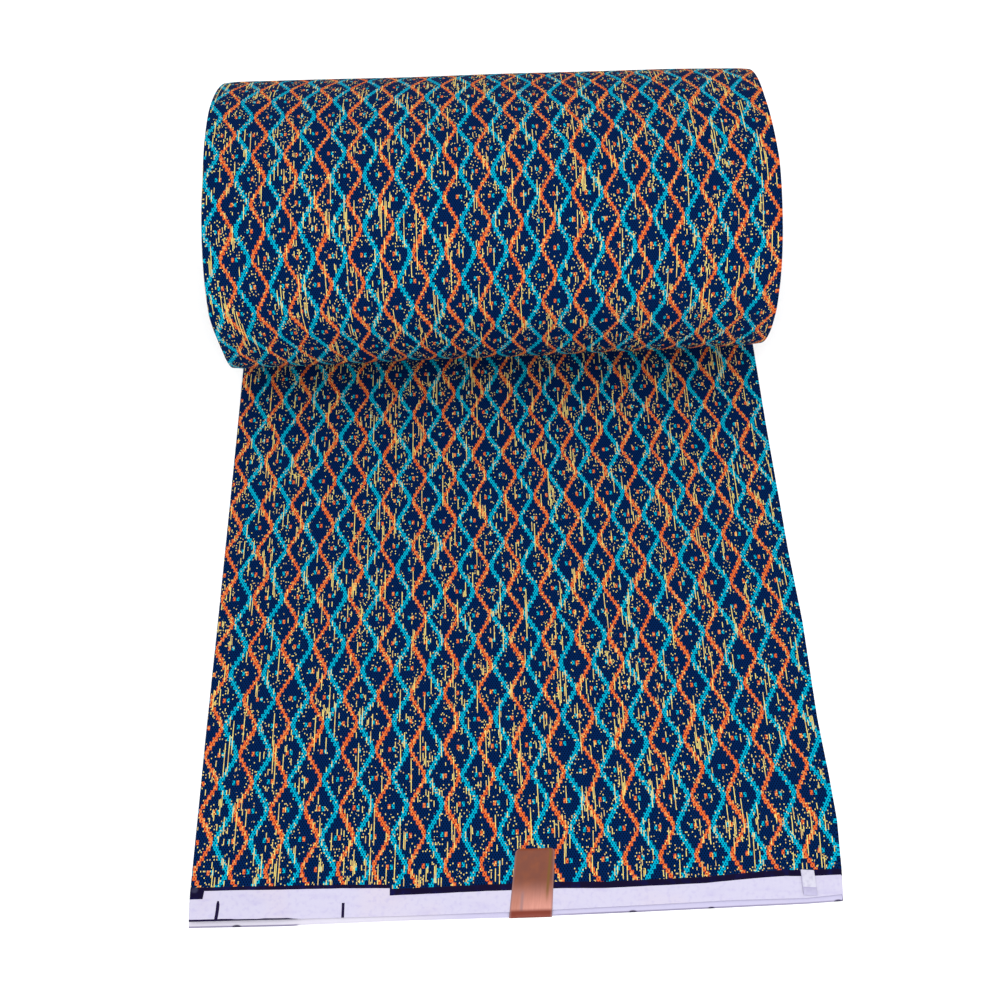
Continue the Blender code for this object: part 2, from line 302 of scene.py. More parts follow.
class Graph:
    """The nodes of one material, made through short methods.

    Its fields u and v are the two coordinates of the piece's own map.
    """

    def __init__(self, name: str, roughness: float, shine: float, metallic: float = 0.0) -> None:
        """Starts a material with its steady values on the shader's own sockets.

        Args:
            name: The material's name.
            roughness: How matt it is.
            shine: How strongly it reflects, where one half is usual.
            metallic: How much of it is bare metal.
        """
        self.material = bpy.data.materials.new(name)
        self.material.use_nodes = True
        self.tree = self.material.node_tree
        self.shader = self.tree.nodes["Principled BSDF"]
        steady = {"Roughness": roughness, "Specular IOR Level": shine, "Metallic": metallic}
        for socket, value in steady.items():
            self.shader.inputs[socket].default_value = value
        split = self.add("ShaderNodeSeparateXYZ")
        self.feed(split.inputs["Vector"], self.node("ShaderNodeUVMap", {}, uv_map=CLOTH_MAP))
        self.u, self.v = (Field(self, split.outputs[axis]) for axis in ("X", "Y"))

    def add(self, kind: str, **settings: str) -> bpy.types.Node:
        """Adds a node of a kind, with its settings.

        Args:
            kind: The node's type.
            **settings: Its settings by name.

        Returns:
            The node.
        """
        node = self.tree.nodes.new(kind)
        for setting, value in settings.items():
            setattr(node, setting, value)
        return node

    def feed(self, socket: bpy.types.NodeSocket, value: "Field | Ink | float") -> None:
        """Links a field to a socket, or sets the socket to an ink or a steady number.

        Args:
            socket: The socket to feed.
            value: The field, the ink or the number.
        """
        if isinstance(value, Field):
            self.tree.links.new(value.socket, socket)
        else:
            socket.default_value = value.paint() if isinstance(value, Ink) else value

    def node(self, kind: str, sockets: dict, output: int | str = 0, **settings: str) -> Field:
        """Adds a node, feeds its sockets and reads one of its outputs.

        Args:
            kind: The node's type.
            sockets: What goes into its sockets, by their names or numbers.
            output: The name or number of the output.
            **settings: The node's settings by name.

        Returns:
            The output.
        """
        node = self.add(kind, **settings)
        for socket, value in sockets.items():
            self.feed(node.inputs[socket], value)
        return Field(self, node.outputs[output])

    def math(self, operation: str, *values: "Field | float") -> Field:
        """One step of arithmetic on fields and numbers, in the words of Blender's Math node."""
        return self.node("ShaderNodeMath", dict(enumerate(values)), operation=operation)

    def point(self, *parts: "Field | float") -> Field:
        """Up to three fields joined as one point, with 0 for those that are left out."""
        return self.node("ShaderNodeCombineXYZ", dict(enumerate(parts)))

    def length(self, place: Field) -> Field:
        """How far a point lies from the origin."""
        return self.node("ShaderNodeVectorMath", {0: place}, "Value", operation="LENGTH")

    def noise(self, place: Field, scale: float, detail: float = 2.0) -> Field:
        """Soft noise about one half at a place, with that many blobs a unit."""
        return self.node("ShaderNodeTexNoise", {"Vector": place, "Scale": scale, "Detail": detail})

    def chance(self, across: Field, along: "Field | float", salt: float) -> Field:
        """An even random number from 0 to 1 for each cell, with a salt to set it apart."""
        return self.node("ShaderNodeTexWhiteNoise", {"Vector": self.point(across, along, salt)})

    def mix(self, share: Field, below: "Field | Ink", above: "Field | Ink") -> Field:
        """The colour below where share is 0, and the colour above where it is 1."""
        sockets = dict(zip(MIX_SOCKETS, (share, below, above)))
        return self.node("ShaderNodeMix", sockets, MIX_OUTPUT, data_type="RGBA")

    def table(self, value: Field, rows: Rows) -> Field:
        """Reads a field off a table, in straight lines from one row to the next.

        Args:
            value: The field to look up.
            rows: Values in rising order and what each is worth.

        Returns:
            The worth of the field everywhere.
        """
        pairs = np.array(rows)
        low, span = pairs.min(axis=0), np.ptp(pairs, axis=0)
        node = self.add("ShaderNodeFloatCurve")
        points = node.mapping.curves[0].points
        for share, height in (pairs - low)[1:-1] / span:
            points.new(share, height)
        for point, (share, height) in zip(points, (pairs - low) / span):
            point.location = (share, height)
            point.handle_type = "VECTOR"
        node.mapping.extend = "HORIZONTAL"
        node.mapping.update()
        self.feed(node.inputs["Value"], (value - float(low[0])) / float(span[0]))
        return Field(self, node.outputs["Value"]) * float(span[1]) + float(low[1])

    def cloud(self, cloud: Cloud) -> Field:
        """A cloud over the piece's own map.

        Args:
            cloud: The cloud's size, squeeze and rise.

        Returns:
            The cloud's share at each place.
        """
        across, along = cloud.squeeze
        place = self.point(self.u * across, self.v * along, cloud.layer)
        noise = self.noise(place, cloud.scale, cloud.detail)
        return noise.rise(cloud.rise) if cloud.rise else noise

    def coats(self, colour: "Field | Ink", *coats: "tuple[Field, Field | Ink]") -> Field:
        """A colour with coats laid over it in turn, each a share and its colour.

        Args:
            colour: The colour below.
            *coats: Each coat's share and colour, from the first.

        Returns:
            The colour with all its coats.
        """
        for share, coat in coats:
            colour = self.mix(share, colour, coat)
        return colour

    def finish(self, colour: Field, height: Field, relief: float) -> bpy.types.Material:
        """Sets the colour and a bump whose height field is worth relief metres.

        Args:
            colour: The base colour.
            height: The bump's height, where 1 stands for the whole relief.
            relief: How high the bump is.

        Returns:
            The finished material.
        """
        bump = self.node("ShaderNodeBump", {"Distance": relief, "Height": height})
        self.feed(self.shader.inputs["Base Color"], colour)
        self.feed(self.shader.inputs["Normal"], bump)
        return self.material


@dataclass(frozen=True)
class PenTick:
    """A short pen stroke up the band, by its place across and its height on the cloth.

    At a height from its middle, it leans by a share of that height and bows by its square. Its
    half width shrinks by the taper towards its top.
    """

    place: float
    half: float
    top: float
    middle: float
    lean: float = 0.0
    bow: float = 0.0
    taper: float = 0.0


@dataclass(frozen=True)
class PrintedCotton:
    """Wax print on cotton: orange and turquoise zigzags that meet, on dotted navy.

    The design is drawn in stepped threads, which also measure its lines, dots, blocks, dashes and
    specks. Yellow dashes and specks lie over everything in drifting clusters. At the cloth's end
    the print stops at a dark border and a plain band, whose tables run from left to right.
    """

    roughness: float = 0.82
    shine: float = 0.02
    threads_across: int = 26
    threads_along: int = 38
    columns: int = 18
    repeat: float = 0.043
    first_column: float = -0.22205
    first_row: float = 0.00075
    swing: float = 5.2
    swing_sharpness: float = 0.93
    stair: float = 3.0
    orange_half: float = 1.3
    turquoise_half: float = 1.68
    line_half_gain: float = 0.42
    tan_above: float = 0.86
    dot_rise: float = 1.45
    dot_size: float = 0.72
    pair_rows: tuple[tuple[float, float, bool], ...] = ((6.5, 0.75, True), (19.5, 0.25, False))
    pair_half_gap: float = 1.45
    pair_half_size: Pair = (1.3, 1.6)
    faded_length: float = 3.0
    faded_above: float = 0.68
    dash_width: float = 0.62
    dash_rows: Rows = (
        (1.0, 23.0, 0.042), (2.0, 11.0, 0.046), (3.0, 4.0, 0.06),
    )
    drift: Cloud = Cloud(30.0, Rise(0.38, 0.68), detail=1.0, squeeze=(2.0, 1.0))
    drift_floor: float = 0.12
    cluster: Cloud = Cloud(75.0, Rise(0.42, 0.66, 0.42), detail=1.0)
    cluster_floor: float = 0.07
    speck_cell: float = 2.0
    speck_half_size: Pair = (0.36, 0.44)
    fold_clear: float = 0.0013
    band_rows: Rows = (
        (-0.2285, 0.0205), (-0.2060, 0.0206), (-0.1635, 0.0200), (-0.1210, 0.0195),
        (-0.0880, 0.0187), (-0.0500, 0.0190), (-0.0200, 0.0194), (0.0350, 0.0191),
        (0.0620, 0.0178), (0.1340, 0.0178), (0.1480, 0.0185), (0.1760, 0.0203),
        (0.1900, 0.0207), (0.2285, 0.0190),
    )
    band_step: Pair = (-0.0880, 0.0049)
    band_wobble: Cloud = Cloud(60.0, squeeze=(1.0, 0.0))
    band_wobble_size: float = 0.0005
    band_shade: Cloud = Cloud(38.0, Rise(0.5, 0.78, 0.5), detail=4.0, squeeze=(1.0, 3.0))
    band_warmth: Cloud = Cloud(22.0, Rise(0.45, 0.7, 0.7), layer=0.3)
    band_fleck: Cloud = Cloud(330.0, Rise(0.48, 0.72, 0.4), detail=3.0)
    lower_share: float = 0.6
    # Painted light: lower ply lighter to the left, against shade under the lifted upper ply
    lower_painted_light: Rise = Rise(0.46, 0.57)
    border_widths: Pair = (0.0026, 0.0045)
    border_wobble_share: float = 0.6
    border_tint: Cloud = Cloud(160.0, Rise(0.45, 0.8))
    border_tint_share: float = 0.7
    block: Triple = (-0.2194, 0.0150, 0.16)
    patch_place: Pair = (-0.2255, 0.0213)
    patch_stretch: float = 1.3
    patch: Rise = Rise(0.0026, 0.0010)
    patch_shares: Pair = (0.3, 0.5)
    # Painted shadow under the upper ply's lifted front edge: its depth at places across
    gap_shadow_rows: Rows = (
        (-0.2285, 0.0013), (-0.1990, 0.0012), (-0.1950, 0.0009), (-0.1810, 0.0007),
        (-0.1760, 0.0010), (-0.1600, 0.0009), (-0.1510, 0.0),
    )
    gap_shadow_end: float = -0.150
    gap_shadow_noise: Cloud = Cloud(110.0, squeeze=(1.0, 0.0))
    gap_shadow_shares: Pair = (0.75, 0.5)
    # Painted shadow along the lower ply's front edge: its strength at places across
    edge_shadow_rows: Rows = (
        (-0.2285, 0.9), (-0.1530, 1.0), (-0.1510, 0.1), (0.0200, 0.1), (0.0300, 0.6),
        (0.0500, 0.8), (0.0750, 1.0), (0.1000, 0.8), (0.1250, 0.9), (0.2200, 0.7), (0.2285, 0.2),
    )
    edge_shadow: Rise = Rise(0.0013, 0.00052)
    ticks: tuple[PenTick, ...] = (
        PenTick(-0.2084, 0.0012, 0.0134, middle=0.0125, bow=9.0, taper=0.0005),
        PenTick(-0.1206, 0.0010, 0.0098, middle=0.0090, lean=-0.03),
    )
    tick_taper: Pair = (0.0029, 0.0002)
    speck_rows: Rows = (
        (-0.1950, 0.0019), (0.0820, 0.0017), (0.1368, 0.0014), (0.2255, 0.0017),
    )
    speck_stretch: float = 2.2
    speck_share: float = 0.9
    selvage_width: float = 0.00012
    wear_scale: float = 900.0
    wear: Rise = Rise(0.2, 0.6, 0.75)
    weave_pitch: float = 0.0006
    weave_share: float = 0.35
    ripple: Cloud = Cloud(26.0)
    ripple_share: float = 3.0
    relief: float = 0.00006

    def build(self) -> bpy.types.Material:
        """Makes the cloth's material.

        Its bump is a product of two sines, one for each way of the weave, on soft noise.

        Returns:
            The material, which reads the cloth's own map in metres.
        """
        graph = Graph("printed_cotton", self.roughness, self.shine)
        rate = 2 * math.pi / self.weave_pitch
        weave = (graph.u * rate).sine() * (graph.v * rate).sine()
        height = weave * self.weave_share + graph.cloud(self.ripple) * self.ripple_share
        colour = self.end_colour(graph, self.print_colour(graph))
        return graph.finish(colour, height, self.relief)

    def print_colour(self, graph: Graph) -> Field:
        """The print over the whole cloth.

        A zigzag's place across is the arcsine of a softened sine of the place along, which is a
        straight zigzag with rounded turns. The turquoise one is its mirror image, half a column
        away, so that the two touch at every turn. Dark dots lie in staggered rows under both.

        Args:
            graph: The material's graph.

        Returns:
            The print's colour.
        """
        across = (graph.u - self.first_column) / (CLOTH_WIDTH / self.columns / self.threads_across)
        along = (graph.v - self.first_row) / (self.repeat / self.threads_along)
        end = across.floor()
        row = along.floor()
        dot_row = along / self.dot_rise
        in_dot_column = ((across + dot_row.floor()) % 2.0) < self.dot_size
        dots = in_dot_column * ((dot_row % 1.0) < self.dot_size)

        place = end + 0.5
        step = (along / self.stair).floor() * self.stair + self.stair / 2
        phase = step * (2 * math.pi / self.threads_along)
        peak = math.asin(self.swing_sharpness)
        swing = (phase.sine() * self.swing_sharpness).arcsine() * (self.swing / peak)
        gain = abs((phase + math.pi / 2).sine()) * self.line_half_gain
        half = self.threads_across / 2
        off_orange = abs((place - swing + half) % self.threads_across - half)
        off_turquoise = abs((place + swing) % self.threads_across - half)
        orange = off_orange < (gain + self.orange_half)
        turquoise = off_turquoise < (gain + self.turquoise_half)

        for column, rest, left_is_orange in self.pair_rows:
            left, right = self.pair(place, row + 0.5, column, rest)
            orange = orange.either(left if left_is_orange else right)
            turquoise = turquoise.either(right if left_is_orange else left)

        tan = graph.chance(end, row, Salt.TAN.value) > self.tan_above
        faded_row = (along / self.faded_length).floor()
        faded = graph.chance(end, faded_row, Salt.FADED.value) > self.faded_above
        return graph.coats(
            graph.mix(dots, Ink.NAVY, Ink.NAVY_DOT),
            (turquoise, graph.mix(dots, Ink.TURQUOISE, Ink.TEAL_DOT)),
            (orange, graph.mix(tan, graph.mix(dots, Ink.ORANGE, Ink.RED_DOT), Ink.TAN)),
            (self.scatter(graph, across, along), graph.mix(faded, Ink.YELLOW, Ink.DIM_YELLOW)),
        )

    def pair(self, place: Field, row: Field, column: float, rest: float) -> tuple[Field, Field]:
        """Two small blocks side by side, once in each cell of the design.

        Args:
            place: Place across in threads.
            row: Place along in threads.
            column: Where the pair's middle lies across, in threads.
            rest: Where it lies along, as a share of the repeat.

        Returns:
            The masks of the left and the right block.
        """
        half = self.threads_across / 2
        long_half = self.threads_along / 2
        along = abs((row - self.threads_along * rest + long_half) % self.threads_along - long_half)
        level = along < self.pair_half_size[1]
        blocks = []
        for side in (-1, 1):
            middle = column + side * self.pair_half_gap
            across = abs((place - middle + half) % self.threads_across - half)
            blocks.append((across < self.pair_half_size[0]) * level)
        return blocks[0], blocks[1]

    def scatter(self, graph: Graph, across: Field, along: Field) -> Field:
        """Yellow dashes one thread wide and single specks, thick in some places and thin in others.

        The fold's ridge has none.

        Args:
            graph: The material's graph.
            across: Place across in threads.
            along: Place along in threads.

        Returns:
            The mask of the yellow threads.
        """
        end = across.floor()
        drift = graph.cloud(self.drift)
        mask = None
        for salt, length, density in self.dash_rows:
            slide = graph.chance(end, salt, Salt.SLIDE.value) * length
            segment = ((along + slide) / length).floor()
            dash = graph.chance(end, segment, salt) < ((drift + self.drift_floor) * density)
            mask = dash if mask is None else mask.either(dash)
        mask = mask * ((across % 1.0) < self.dash_width)
        column = (across / self.speck_cell).floor()
        row = (along / self.speck_cell).floor()
        density = graph.cloud(self.cluster) + self.cluster_floor
        specks = graph.chance(column, row, Salt.SPECK.value) < density
        salts = (Salt.CORNER_ACROSS, Salt.CORNER_ALONG)
        for place, salt, half_size in zip((across, along), salts, self.speck_half_size):
            corner = graph.chance(column, row, salt.value) > 0.5
            specks = specks * (abs((place % self.speck_cell) - corner - 0.5) < half_size)
        off_fold = abs(graph.u - HALF_WIDTH) > self.fold_clear
        return mask.either(specks) * off_fold

    def end_colour(self, graph: Graph, colour: Field) -> Field:
        """The dark border and the plain band at the cloth's end, laid over the print's colour.

        Args:
            graph: The material's graph.
            colour: The print's colour.

        Returns:
            The colour of the whole cloth.
        """
        u, v = graph.u, graph.v
        wobble = (graph.cloud(self.band_wobble) - 0.5) * self.band_wobble_size
        right_of_step = u > self.band_step[0]
        left_width, right_width = self.border_widths
        band_end = graph.table(u, self.band_rows) + wobble - right_of_step * self.band_step[1]
        border_end = band_end + right_of_step * (right_width - left_width) + left_width
        border_end = border_end + wobble * self.border_wobble_share
        side, foot, lean = self.block
        block = (u < ((v - foot) * lean + side)) * (v > foot)
        return graph.coats(
            colour,
            (v < border_end, self.border_colour(graph)),
            (self.selvage(graph), Ink.SELVAGE),
            ((v < band_end) * block.inverted(), self.band_colour(graph)),
        )

    def border_colour(self, graph: Graph) -> Field:
        """The dark border, bluer in clouds and in a round worn patch on its block at the left.

        Args:
            graph: The material's graph.

        Returns:
            The border's colour.
        """
        tint = graph.cloud(self.border_tint)
        across = (graph.u - self.patch_place[0]) / self.patch_stretch
        off_patch = graph.length(graph.point(across, graph.v - self.patch_place[1]))
        least, gain = self.patch_shares
        return graph.coats(
            Ink.BORDER,
            (tint * self.border_tint_share, Ink.BORDER_TINT),
            (off_patch.rise(self.patch) * (tint * gain + least), Ink.BLOCK_TINT),
        )

    def band_colour(self, graph: Graph) -> Field:
        """The plain band, clouded and flecked, brighter on the lower ply and marked by a pen.

        Args:
            graph: The material's graph.

        Returns:
            The band's colour.
        """
        lower = graph.u > HALF_WIDTH
        # The lower ply is tinted bluer, and painted lighter towards its left against the shade
        # there
        lower_plain = graph.mix(graph.u.rise(self.lower_painted_light), Ink.BAND_LOWER, Ink.BAND_PAINTED_LIGHT)
        return graph.coats(
            Ink.BAND,
            (graph.cloud(self.band_warmth), Ink.BAND_WARM),
            (graph.cloud(self.band_shade), Ink.BAND_SHADE),
            (graph.cloud(self.band_fleck), Ink.BAND_SHADE),
            (lower * self.lower_share, lower_plain),
            # Painted shadow along the lower ply's front edge
            (self.painted_edge_shadow(graph) * lower, Ink.EDGE_PAINTED_SHADOW),
            # Pen marks and specks, with painted shadow under the upper ply's lifted front edge
            *((mark, Ink.PEN_MARK_AND_GAP_SHADOW) for mark in self.pen_marks_and_gap_shadow(graph)),
        )

    def selvage(self, graph: Graph) -> Field:
        """The duller threads of the two edges where the ink has worn, in uneven strength.

        Args:
            graph: The material's graph.

        Returns:
            The share of the duller colour.
        """
        outside = (graph.u < (self.selvage_width - HALF_WIDTH)).either(
            graph.u > (CLOTH_WIDTH + HALF_WIDTH - self.selvage_width))
        wear = graph.noise(graph.point(graph.v), self.wear_scale, detail=1.0).rise(self.wear)
        return outside * wear

    def painted_edge_shadow(self, graph: Graph) -> Field:
        """The grey edge of the lower ply at the front, stronger on its left and its right."""
        grey = graph.table(graph.math("SUBTRACT", CLOTH_WIDTH, graph.u), self.edge_shadow_rows)
        return grey * graph.v.rise(self.edge_shadow)

    def pen_marks_and_gap_shadow(self, graph: Graph) -> list[Field]:
        """Dark marks on the plain band: two short ticks, the edge's dark line and specks.

        The specks lie on the lower ply, whose places across run on from the fold.

        Args:
            graph: The material's graph.

        Returns:
            The masks of the marks.
        """
        u, v = graph.u, graph.v
        marks = []
        below, above = self.tick_taper
        for tick in self.ticks:
            height = v - tick.middle
            off = abs(u - tick.place + height * tick.lean + height * height * tick.bow)
            thinner = v.rise(Rise(tick.top - below, tick.top + above, tick.taper))
            marks.append((off < (thinner * -1.0 + tick.half)) * (v < tick.top))
        # Painted shadow of the gap under the lifted upper ply, as a dark line along its front edge
        least, gain = self.gap_shadow_shares
        unsteady = graph.cloud(self.gap_shadow_noise) * gain + least
        edge = v < (graph.table(u, self.gap_shadow_rows) * unsteady)
        marks.append(edge * (u < self.gap_shadow_end))
        for place, size in self.speck_rows:
            across = (u - (CLOTH_WIDTH - place)) / self.speck_stretch
            off = graph.length(graph.point(across, v))
            marks.append(off.rise(Rise(size, size / 2, self.speck_share)))
        return marks


@dataclass(frozen=True)
class CopperFoil:
    """Metallised foil: brown on top, a pale sheen before the bend and dark red down the front.

    A grey and a gold line run along it, and its rear end and its sides are darker. Its map runs
    from 0 to 1 across and along.
    """

    roughness: float = 0.36
    shine: float = 0.2
    metallic: float = 0.12
    streaks: Cloud = Cloud(3.0, detail=3.0, squeeze=(9.0, 1.0))
    mottle: Cloud = Cloud(4.0, detail=3.0, squeeze=(1.0, 1.5))
    mottled: Rise = Rise(0.35, 0.75, 0.5)
    # Painted sheen: pale towards the bend, in streaks
    painted_sheen: Rise = Rise(0.42, 0.92)
    painted_sheen_shares: Pair = (0.65, 0.5)
    # Painted glint in orange near the left side, low down the label
    left: Rise = Rise(0.30, 0.18)
    left_glint_along: Rise = Rise(0.6, 0.8, 0.35)
    grey_place: float = 0.27
    grey_line: Rise = Rise(0.07, 0.0)
    grey_along: Rise = Rise(0.58, 0.70, 0.7)
    # Painted shade: dark red down the front, which turns down
    front: Rise = Rise(0.865, 0.905)
    rear: Rise = Rise(0.055, 0.020, 0.9)
    rear_shake: float = 0.02
    gold_place: float = 0.90
    gold_lean: float = 0.06
    gold_shake: float = 0.04
    gold_line: Rise = Rise(0.08, 0.03)
    gold_along: Rise = Rise(0.85, 0.55, 0.85)
    sides: Rise = Rise(0.44, 0.5, 0.6)
    streak_height: float = 0.4
    relief: float = 0.0002

    def build(self) -> bpy.types.Material:
        """Makes the label's material.

        Returns:
            The material, which reads the label's own map.
        """
        graph = Graph("copper_foil", self.roughness, self.shine, self.metallic)
        across, along = graph.u, graph.v
        streak, mottle = graph.cloud(self.streaks), graph.cloud(self.mottle)
        least, gain = self.painted_sheen_shares
        off_grey = abs(across - self.grey_place)
        off_gold = abs(across - self.gold_place + along * self.gold_lean)
        off_gold = off_gold + streak * self.gold_shake
        colour = graph.coats(
            Ink.FOIL_BROWN,
            (mottle.rise(self.mottled), Ink.FOIL_ORANGE_AND_GLINT),
            # Painted sheen before the bend
            (along.rise(self.painted_sheen) * (streak * gain + least), Ink.FOIL_PAINTED_SHEEN),
            # Painted glint near the left side
            (across.rise(self.left) * along.rise(self.left_glint_along), Ink.FOIL_ORANGE_AND_GLINT),
            (off_grey.rise(self.grey_line) * along.rise(self.grey_along), Ink.FOIL_GREY),
            # Painted shade down the front
            (along.rise(self.front), Ink.FOIL_FRONT_SHADE),
            ((along + streak * self.rear_shake).rise(self.rear), Ink.FOIL_RIM),
            (off_gold.rise(self.gold_line) * along.rise(self.gold_along), Ink.FOIL_GOLD),
            (abs(across - 0.5).rise(self.sides), Ink.FOIL_GREY),
        )
        return graph.finish(colour, mottle + streak * self.streak_height, self.relief)


@dataclass(frozen=True)
class PlainPaper:
    """Thin white paper, a little blotchy, with a faint lavender shade towards its foot.

    Its map runs from 0 to 1 across and along.
    """

    roughness: float = 0.7
    shine: float = 0.5
    grain: Cloud = Cloud(9.0, detail=4.0)
    blotch: Cloud = Cloud(5.0, Rise(0.42, 0.68, 0.75), detail=3.0, squeeze=(0.6, 1.0))
    # Painted shade: the bent foot below the crease, and a strip along the left side
    foot: Rise = Rise(0.66, 0.72)
    foot_shade_shares: Pair = (0.45, 0.5)
    side: Rise = Rise(0.12, 0.0, 0.5)
    # Painted shade along the crease
    crease_place: float = 0.70
    crease: Rise = Rise(0.03, 0.01, 0.8)
    relief: float = 0.0001

    def build(self) -> bpy.types.Material:
        """Makes the tab's material.

        Returns:
            The material, which reads the tab's own map.
        """
        graph = Graph("plain_paper", self.roughness, self.shine)
        grain = graph.cloud(self.grain)
        least, gain = self.foot_shade_shares
        foot = graph.v.rise(self.foot) * (grain * gain + least)
        colour = graph.coats(
            Ink.PAPER,
            (graph.cloud(self.blotch), Ink.PAPER_GREY),
            # Painted shade on the foot and along the left side
            (foot.either(graph.u.rise(self.side)), Ink.PAPER_PAINTED_SHADE),
            # Painted shade along the crease
            (abs(graph.v - self.crease_place).rise(self.crease), Ink.PAPER_CREASE_SHADE),
        )
        return graph.finish(colour, grain, self.relief)


@dataclass(frozen=True)
class StudioFloor:
    """A plain white floor without shine."""

    albedo: float = 0.96
    roughness: float = 0.9

    def build(self) -> bpy.types.Material:
        """Makes the floor's material.

        Returns:
            The material, of one even white.
        """
        material = bpy.data.materials.new("studio_floor")
        material.use_nodes = True
        sockets = material.node_tree.nodes["Principled BSDF"].inputs
        sockets["Base Color"].default_value = (self.albedo, self.albedo, self.albedo, 1.0)
        sockets["Roughness"].default_value = self.roughness
        sockets["Specular IOR Level"].default_value = 0.0
        return material


@dataclass(frozen=True)
class RollSection:
    """The roll's section: an ellipse above, and a fuller, flatter superellipse below."""

    centre: float = 0.5727
    half_depth: float = 0.1313
    half_height: float = 0.0911
    lower_fullness: float = 2.94
    upper_fullness: float = 2.0
    sag_share: float = 0.06

    def place(self, turn: Array, inset: Array) -> tuple[Array, Array]:
        """Points of the outline, set in from its outside.

        At an angle that grows by a full circle each turn, y is the half depth less the inset
        times the cosine raised to two over the fullness, and z the same with the half height and
        the sine. The middle sinks by a small share of the inset.

        Args:
            turn: Turns travelled from the bottom, first towards the rear.
            inset: How far inside the outer face the points lie.

        Returns:
            The points' y and z.
        """
        angle = 2 * np.pi * (turn - 0.25)
        sine = np.sin(angle)
        power = np.where(sine < 0, 2 / self.lower_fullness, 2 / self.upper_fullness)
        y = self.centre + (self.half_depth - inset) * signed_power(np.cos(angle), power)
        middle = self.half_height - self.sag_share * inset
        z = middle + (self.half_height - inset) * signed_power(sine, power)
        return y, z


